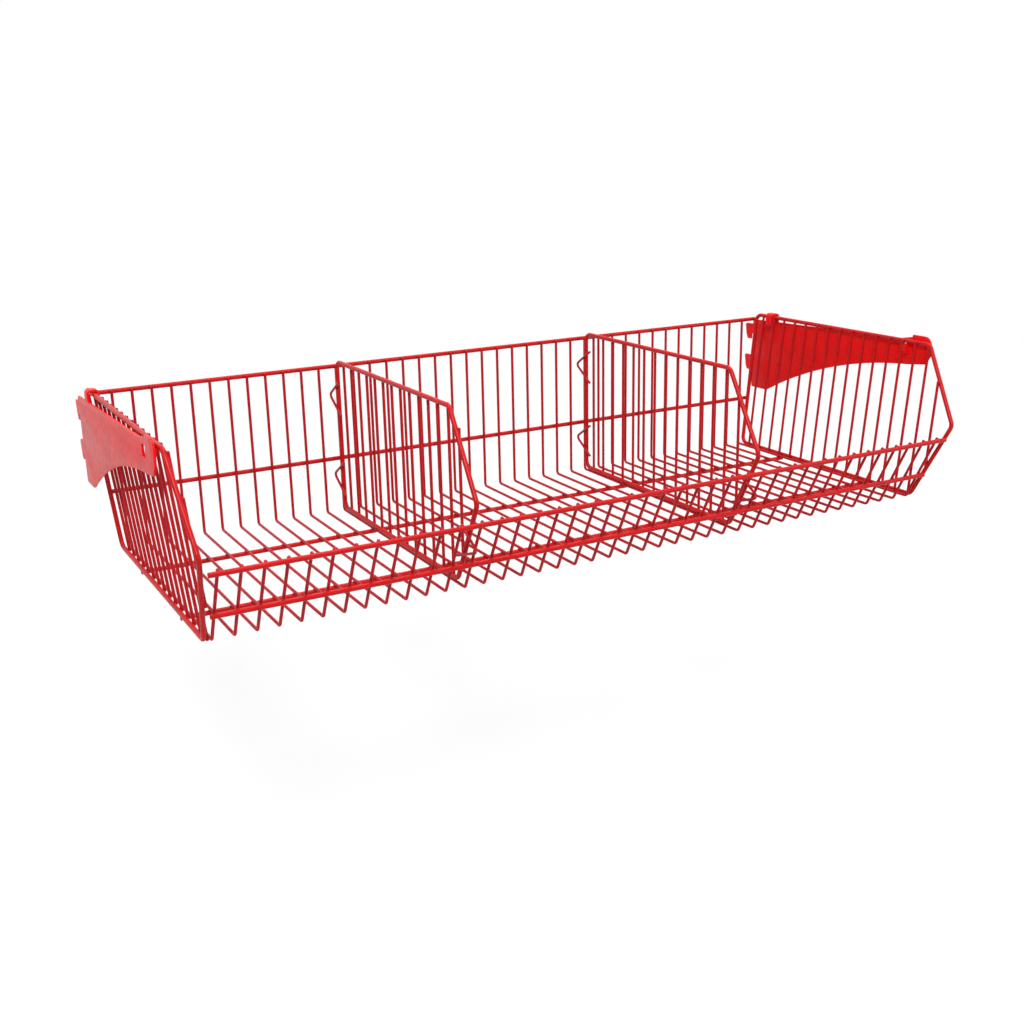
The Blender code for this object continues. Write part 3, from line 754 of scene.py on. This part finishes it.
def grille(node, frame_skin, paths, marks, normal):
    """Piece of a frame, its upright wires and the weld beads between them."""
    thin = settings().wires.thin
    uprights = [tube(path, thin, DEPTHWISE) for path in paths]
    points, faces = joined([frame_skin, *uprights, weld_beads(marks, normal, DEPTHWISE)])
    is_thin = np.arange(len(points)) >= len(frame_skin[0])
    coated("coated_" + node, node, points, faces, coat_masks(points, marks, thin=is_thin))


# Operators, one for each piece or group of like pieces


class BASKET_OT_bent_wires(bpy.types.Operator):
    """Bend the thin wires from the top of the back, along the base and up the lip"""
    bl_idname = "basket.bent_wires"
    bl_label = "Bent Wires"

    def execute(self, context):
        rack = settings()
        basket, wires = rack.basket, rack.wires
        along, out = lip_axes()
        outside = wire_out()
        shift = math.tan((math.pi / 2 - math.atan2(along[0], along[1])) / 2)
        foot = np.array([basket.base_depth, 0.0])
        corners = [
            (-outside, basket.height - basket.top_drop), (-outside, -outside),
            (basket.base_depth + outside * shift, -outside), foot + along * basket.tip_along + out * outside]
        bends = (0, basket.back_bend, basket.lip_bend, 0)
        flat = rounded(corners, bends, wires.bend_steps)
        for index, node in enumerate(WIRE_NODES):
            points, faces = tube(place(middle(node).x, flat), wires.thin, ALONG_BAY)
            marks = [rail_weld_points(rail)[index] for rail in RAIL_NODES]
            masks = coat_masks(points, marks, thin=1.0)
            coated(node.replace("basket_wire", "bent_wire"), node, points, faces, masks)
        return {"FINISHED"}


class BASKET_OT_rails(bpy.types.Operator):
    """Lay the thick rails that the bent wires are welded to"""
    bl_idname = "basket.rails"
    bl_label = "Rails"

    def execute(self, context):
        wires = settings().wires
        for node in RAIL_NODES:
            low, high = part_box(node)
            centre = np.array(middle(node))
            ends = np.array([[low.x, *centre[1:]], [high.x, *centre[1:]]])
            points, faces = tube(ends, wires.thick, UPWARD)
            coated("coated_" + node, node, points, faces, coat_masks(points, rail_weld_points(node)))
        return {"FINISHED"}


class BASKET_OT_end_panels(bpy.types.Operator):
    """Bend the leaning end hoops and press their upright wires into the inner faces"""
    bl_idname = "basket.end_panels"
    bl_label = "End Panels"

    def execute(self, context):
        rack = settings()
        wires, basket, panels = rack.wires, rack.basket, rack.panels
        corners = hoop_corners()
        flat = rounded(corners, basket.hoop_bend, wires.bend_steps, closed=True)
        last = basket.lip_depth - panels.end_last_back
        runs, meets = upright_runs(corners, panels.end_first, last, panels.end_count, -wires.thin)
        lean = math.atan2(basket.flare, basket.height)
        for side_name, side in SIDES.items():
            node = f"end_panel_{side_name}"
            outward = np.array([side * math.cos(lean), 0, -math.sin(lean)])
            hoop = tube(place(side * half_width(flat[:, 1]), flat), wires.thick, outward, closed=True)
            paths = [place(side * half_width(run[:, 1]), run) - outward * upright_offset() for run in runs]
            marks = place(side * half_width(meets[:, 1]), meets) - outward * wires.thick
            grille(node, hoop, paths, marks, outward)
        return {"FINISHED"}


class BASKET_OT_dividers(bpy.types.Operator):
    """Bend the lift-out divider frames and press their upright wires into the right faces"""
    bl_idname = "basket.dividers"
    bl_label = "Dividers"

    def execute(self, context):
        rack = settings()
        wires, basket, panels = rack.wires, rack.basket, rack.panels
        corners = divider_corners()
        flat = rounded(corners, basket.hoop_bend, wires.bend_steps, closed=True)
        over_wires = wires.thin - wire_out() + wires.gap
        last = corners[3][0] - panels.divider_last_back
        runs, meets = upright_runs(corners, panels.divider_first, last, panels.divider_count, over_wires)
        for side_name in SIDES:
            node = f"divider_{side_name}"
            x = divider_x(side_name)
            hoop = tube(place(x, flat), wires.thick, ALONG_BAY, closed=True)
            paths = [place(x + upright_offset(), run) for run in runs]
            grille(node, hoop, paths, place(x + wires.thick, meets), ALONG_BAY)
        return {"FINISHED"}


class BASKET_OT_spring_clips(bpy.types.Operator):
    """Bend the spring clips that hold the dividers to the back and to the lip"""
    bl_idname = "basket.spring_clips"
    bl_label = "Spring Clips"

    def execute(self, context):
        rack = settings()
        wires, panels, coat = rack.wires, rack.panels, rack.coat
        corners = divider_corners()
        rear, top = corners[0]
        (base_depth, base_height), (lip_depth, lip_height) = corners[2], corners[3]
        slope = (lip_depth - base_depth) / (lip_height - base_height)
        shapes = {}
        for label, centre in (("upper", top - panels.rear_clip_upper), ("lower", panels.rear_clip_lower)):
            half = panels.rear_clip_height / 2
            tail = rear + panels.rear_clip_tail
            shapes[f"rear_clip_{label}"] = [
                (tail, centre + half), (rear - panels.rear_clip_reach, centre), (tail, centre - half)]
        rise = np.array([1, 0, -1]) * panels.front_clip_height / 2
        edge = base_depth + slope * (panels.front_clip_middle + rise - base_height)
        reach = np.array([-panels.front_clip_tail, panels.front_clip_reach, -panels.front_clip_tail])
        shapes["front_clip"] = np.column_stack([edge + reach, panels.front_clip_middle + rise])
        for side_name in SIDES:
            x = divider_x(side_name) - wires.thick - wires.gap - wires.clip
            for label, corner_points in shapes.items():
                node = f"divider_{side_name}_{label}"
                flat = rounded(corner_points, panels.clip_bend, wires.bend_steps)
                path = place(x, flat)
                points, faces = tube(path, wires.clip, ALONG_BAY)
                nose = path[len(path) // 2]
                rub = coat.clip_rub * near(points, [nose], coat.clip_rub_reach)
                masks = coat_masks(points, path[[1, -2]], thin=1.0, rub=rub)
                coated("sprung_" + node, node, points, faces, masks)
        return {"FINISHED"}


class BASKET_OT_weld_beads(bpy.types.Operator):
    """Put the weld beads between the rails and the wires that cross them"""
    bl_idname = "basket.weld_beads"
    bl_label = "Weld Beads"

    def execute(self, context):
        for rail, flat_normal in rail_normals().items():
            normal = np.array([0, -flat_normal[0], flat_normal[1]])
            marks = rail_weld_points(rail)
            points, faces = weld_beads(marks, normal, ALONG_BAY)
            masks = coat_masks(points, marks)
            piece = new_piece(rail + "_weld_beads", points, faces, wire_material(SLOT_OF[rail]), masks)
            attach(piece, BODY_OF[rail])
        return {"FINISHED"}


def hook_corners(top, rear, sizes):
    """Corners of a hook on the rear edge and the round of each, from its top down to its throat."""
    tip, bottom, soft = rear - sizes.hook_reach, top - sizes.hook_height, sizes.hook_round
    throat, roof, inside = rear - sizes.hook_throat, bottom + sizes.hook_throat_height, sizes.hook_inside
    return [
        ((rear, top), sizes.hook_root), ((tip, top), soft), ((tip + soft, bottom + 2 * soft), soft),
        ((tip + 2 * soft, bottom), inside), ((throat, bottom), inside), ((throat, roof), inside),
        ((rear, roof), 0.0)]


class BASKET_OT_brackets(bpy.types.Operator):
    """Cut and fold the sheet brackets that carry the basket"""
    bl_idname = "basket.brackets"
    bl_label = "Brackets"

    def outline(self, tab_rear, tab_front):
        """Depth and height of the plate's rounded outline, from the tab's rear foot down the rear edge."""
        rack = settings()
        sizes, basket, wires = rack.brackets, rack.basket, rack.wires
        top, front, rear = basket.height, basket.top_depth, -sizes.behind
        lug_front, lug_top = front - sizes.lug_back, top + sizes.lug_rise
        lug_rear = lug_front - sizes.lug_length
        ramp_foot = lug_rear - sizes.ramp_length
        edge = np.array([[rear, ramp_foot], [top - sizes.rear_drop, top + sizes.front_rise]])
        foot = np.array([rear + sizes.foot_length, top - sizes.foot_drop])
        arch_end = np.array([front - sizes.arch_back, top - sizes.arch_drop])
        arch = arch_arc(foot, arch_end, sizes.arch_rise, 3 * wires.bend_steps)
        corners = [((tab_rear, np.interp(tab_rear, *edge)), 0.0), ((rear, edge[1, 0]), sizes.rear_round)]
        for drop in (sizes.hook_upper_drop, sizes.hook_lower_drop):
            corners += hook_corners(top - drop, rear, sizes)
        corners += [((rear, top - sizes.foot_drop), sizes.foot_round)]
        corners += [(tuple(corner), 0.0) for corner in arch]
        corners += [
            ((front - sizes.nose_back, top - sizes.nose_drop), sizes.nose_round),
            ((lug_front, lug_top - 2 * sizes.lug_round), sizes.chin_round),
            ((lug_front, lug_top), sizes.lug_round),
            ((lug_rear, lug_top), sizes.lug_rear_round),
            ((lug_rear, edge[1, 1] + sizes.ramp_rise), sizes.ramp_round),
            ((ramp_foot, edge[1, 1]), sizes.ramp_foot_round),
            ((tab_front, np.interp(tab_front, *edge)), 0.0)]
        points, radii = zip(*corners)
        return rounded(points, radii, wires.bend_steps, closed=True)

    def execute(self, context):
        rack = settings()
        sizes, basket, wires, panels, coat = rack.brackets, rack.basket, rack.wires, rack.panels, rack.coat
        half = sizes.sheet / 2
        throat_drop = sizes.hook_height - sizes.hook_throat_height
        uprights = np.linspace(panels.end_first, basket.lip_depth - panels.end_last_back, panels.end_count)
        tab_front = uprights[sizes.tab_before - 1] - wires.thin - sizes.tab_gap
        tab = (tab_front - sizes.tab_width, tab_front)
        shelf_depth = uprights[sizes.shelf_after - 1] + wires.thin + sizes.shelf_gap + half
        shelf_top = basket.height - wires.thick - wires.gap
        window = {
            "rear": shelf_depth - half - sizes.window, "front": shelf_depth + sizes.fold,
            "top": shelf_top, "bottom": shelf_top - sizes.shelf_height}
        plane = float(half_width(basket.height)) + wires.thick + sizes.gap + half
        outline = self.outline(*tab)
        for side_name, side in SIDES.items():
            node = f"bracket_{side_name}"
            points, faces = self.sheet(outline, window, side, plane, tab, shelf_depth)
            hooks = place(side * plane, [
                (-sizes.behind - sizes.hook_throat / 2, basket.height - drop - throat_drop)
                for drop in (sizes.hook_upper_drop, sizes.hook_lower_drop)])
            masks = coat_masks(points, [], rub=coat.hook_rub * near(points, hooks, coat.hook_rub_reach))
            piece = new_piece("folded_" + node, points, faces, plate_material(SLOT_OF[node]), masks)
            finish_sheet(piece, sizes)
            stand_for(piece, node)
        return {"FINISHED"}

    def sheet(self, outline, window, side, plane, tab, shelf_depth):
        """Middle surface of a bracket: two flat faces that meet at the window, and the two tabs."""
        rack = settings()
        sizes, basket, wires = rack.brackets, rack.basket, rack.wires
        half = sizes.sheet / 2
        seat = basket.height + wires.thick + wires.gap + half
        tab_inner = float(half_width(basket.height)) - wires.thick - sizes.tab_gap
        count = len(outline)
        split = (window["rear"] + window["front"]) / 2
        # the outline runs from the tab down the rear, along the bottom to the front and back along the top
        bottom = int(np.argmax(outline[:, 0] > split))
        after = np.arange(count) > bottom
        top = int(np.argmax(after & (outline[:, 0] < split) & (outline[:, 1] > window["top"])))
        hole = np.array([
            (split, window["bottom"]), (window["rear"], window["bottom"]), (window["rear"], window["top"]),
            (window["front"], window["top"]), (window["front"], window["bottom"])])
        low_edge = np.array([split, np.interp(split, *outline[[bottom - 1, bottom]].T)])
        high_edge = np.array([split, np.interp(split, *outline[[top, top - 1]].T)])
        flat = np.vstack([outline, hole, [low_edge], [high_edge], [(split, window["top"])]])
        hole_bottom, rear_low, rear_high, front_high, front_low, low, high, hole_top = range(count, count + 8)
        rear_face = [
            *range(bottom), low, hole_bottom, rear_low, rear_high, hole_top, high, *range(top, count)]
        front_face = [*range(bottom, top), high, hole_top, front_high, front_low, hole_bottom, low]
        points = [place(side * plane, flat)]
        faces = [rear_face, front_face]
        finger, finger_end = tab_inner - half, basket.height - sizes.finger_drop
        over = rounded([
            (plane, outline[0][1]), (plane, seat), (finger, seat), (finger, finger_end)],
            sizes.fold, wires.bend_steps)[1:]
        rows = np.stack([np.insert(over, 1, depth, axis=1) for depth in tab], 1)
        self.bend(points, faces, (0, count - 1), rows, side)
        inward = rounded([
            (plane, window["front"]), (plane, shelf_depth), (tab_inner, shelf_depth)],
            sizes.shelf_fold, wires.bend_steps)[1:]
        levels = (window["bottom"], window["top"])
        rows = np.stack([np.insert(inward, 2, level, axis=1) for level in levels], 1)
        self.bend(points, faces, (front_low, front_high), rows, side)
        return np.vstack(points), faces

    def bend(self, points, faces, root, rows, side):
        """Add a strip that leaves the plate at its root and runs on through rows of x, depth and height."""
        start = sum(len(part) for part in points)
        strip = rows.reshape(-1, 3)
        points.append(place(side * strip[:, 0], strip[:, 1:]))
        index = np.vstack([root, start + np.arange(len(strip)).reshape(len(rows), -1)])
        quads = np.stack([index[:-1, :-1], index[:-1, 1:], index[1:, 1:], index[1:, :-1]], -1)
        faces.extend(quads.reshape(-1, 4).tolist())


def finish_sheet(piece, sizes):
    """Give the middle surface of a bracket its thickness and soft coated edges."""
    thickness = piece.modifiers.new("Sheet", "SOLIDIFY")
    thickness.thickness = sizes.sheet
    thickness.offset = 0.0
    thickness.use_even_offset = True
    edges = piece.modifiers.new("Coated edges", "BEVEL")
    edges.width = sizes.edge_round
    edges.segments = 3
    edges.limit_method = "ANGLE"
    edges.angle_limit = math.radians(50)


# Stage


def area_lamp(name, location, target, size, power):
    """Square soft lamp that faces a point."""
    data = bpy.data.lights.new(name, "AREA")
    data.size = size
    data.energy = power
    lamp = bpy.data.objects.new(name, data)
    lamp.location = location
    lamp.rotation_euler = (Vector(target) - Vector(location)).to_track_quat("-Z", "Y").to_euler()
    bpy.context.scene.collection.objects.link(lamp)


def background_ray(tree):
    """1 for rays that see the background directly, by reflection or through glass, and else 0."""
    path = tree.nodes.new("ShaderNodeLightPath")
    seen = combine(tree, "MAXIMUM", path.outputs["Is Camera Ray"], path.outputs["Is Glossy Ray"])
    return combine(tree, "MAXIMUM", seen, path.outputs["Is Transmission Ray"])


def floor_material():
    """Pale floor that glows for rays that see it just enough to be white, and so keeps the shadow.

    The lamps' light on the floor falls with distance as one over (1 + (distance / spread) squared) to the
    power 1.5, and the glow rises by as much.
    """
    stage = settings().stage
    material = bpy.data.materials.new("white_floor")
    material.use_nodes = True
    tree = material.node_tree
    shader = tree.nodes["Principled BSDF"]
    shader.inputs["Base Color"].default_value = (*[stage.floor_tone] * 3, 1)
    shader.inputs["Roughness"].default_value = 0.9
    shader.inputs["Specular IOR Level"].default_value = 0.0
    shader.inputs["Emission Color"].default_value = (1, 1, 1, 1)
    coords = tree.nodes.new("ShaderNodeTexCoord")
    square = tree.nodes.new("ShaderNodeVectorMath")
    square.operation = "DOT_PRODUCT"
    tree.links.new(coords.outputs["Object"], square.inputs[0])
    tree.links.new(coords.outputs["Object"], square.inputs[1])
    ratio = combine(tree, "DIVIDE", square.outputs["Value"], stage.light_spread ** 2)
    lit = combine(tree, "POWER", combine(tree, "ADD", ratio, 1.0), -1.5)
    glow = remap(tree, lit, 0, 1, stage.glow_far, stage.glow_near)
    tree.links.new(combine(tree, "MULTIPLY", background_ray(tree), glow), shader.inputs["Emission Strength"])
    return material


def white_world():
    """World that is white to rays that see it and gives a soft even light."""
    world = bpy.context.scene.world or bpy.data.worlds.new("studio")
    bpy.context.scene.world = world
    world.use_nodes = True
    tree = world.node_tree
    shader = tree.nodes["Background"]
    shader.inputs["Color"].default_value = (1, 1, 1, 1)
    strength = remap(tree, background_ray(tree), 0, 1, settings().stage.world_light, 1.0)
    tree.links.new(strength, shader.inputs["Strength"])


class BASKET_OT_stage(bpy.types.Operator):
    """Set the floor, the lamps and the camera"""
    bl_idname = "basket.stage"
    bl_label = "Stage"

    def execute(self, context):
        stage = settings().stage
        sides = stage.floor_sides
        turn = np.linspace(0, 2 * np.pi, sides, endpoint=False)
        radius, drop = stage.floor_radius, np.full(sides, stage.floor_drop)
        ring = np.column_stack([radius * np.cos(turn), radius * np.sin(turn), -drop])
        floor = new_piece("floor", ring, [range(sides)], floor_material(), {})
        white_world()
        for name, (location, size, power) in LAMPS.items():
            area_lamp(name, location, stage.aim, size, power)
        right = Vector((math.cos(stage.yaw), -math.sin(stage.yaw), 0))
        ahead = Vector((math.sin(stage.yaw), math.cos(stage.yaw), 0))
        forward = math.cos(stage.pitch) * ahead - Vector((0, 0, math.sin(stage.pitch)))
        up = right.cross(forward)
        level, tilt = math.cos(stage.roll), math.sin(stage.roll)
        axes = (level * right + tilt * up, level * up - tilt * right, -forward)
        data = bpy.data.cameras.new("camera")
        data.lens = stage.focal * data.sensor_width
        camera = bpy.data.objects.new("camera", data)
        camera.matrix_world = Matrix.Translation(stage.eye) @ Matrix(axes).transposed().to_4x4()
        context.scene.collection.objects.link(camera)
        context.scene.camera = camera
        context.scene.view_settings.view_transform = "Standard"
        return {"FINISHED"}


OPERATORS = (
    BASKET_OT_bent_wires, BASKET_OT_rails, BASKET_OT_end_panels, BASKET_OT_dividers, BASKET_OT_spring_clips,
    BASKET_OT_weld_beads, BASKET_OT_brackets, BASKET_OT_stage)


class BASKET_PT_rack(bpy.types.Panel):
    """Lists the rack's pieces and its stage"""
    bl_idname = "BASKET_PT_rack"
    bl_label = "Wire Basket Rack"
    bl_space_type = "VIEW_3D"
    bl_region_type = "UI"
    bl_category = "Basket Rack"

    def draw(self, context):
        for operator in OPERATORS:
            self.layout.operator(operator.bl_idname)
        for group in RackSettings.__annotations__:
            box = self.layout.box()
            box.label(text=group.title())
            values = getattr(context.scene.basket_rack, group)
            for name in values.__annotations__:
                box.prop(values, name)


CLASSES = (WireSizes, BasketSizes, PanelSizes, BracketSizes, CoatLooks, StageSizes, RackSettings,
           *OPERATORS, BASKET_PT_rack)


def register():
    """Register the settings, the operators and the panel."""
    for item in CLASSES:
        bpy.utils.register_class(item)
    bpy.types.Scene.basket_rack = PointerProperty(type=RackSettings)


def unregister():
    """Take back what register did."""
    del bpy.types.Scene.basket_rack
    for item in reversed(CLASSES):
        bpy.utils.unregister_class(item)


def main():
    """Make every piece and the stage."""
    register()
    bpy.ops.basket.bent_wires()
    bpy.ops.basket.rails()
    bpy.ops.basket.end_panels()
    bpy.ops.basket.dividers()
    bpy.ops.basket.spring_clips()
    bpy.ops.basket.weld_beads()
    bpy.ops.basket.brackets()
    bpy.ops.basket.stage()
    bpy.context.view_layer.update()


if __name__ == "__main__":
    main()
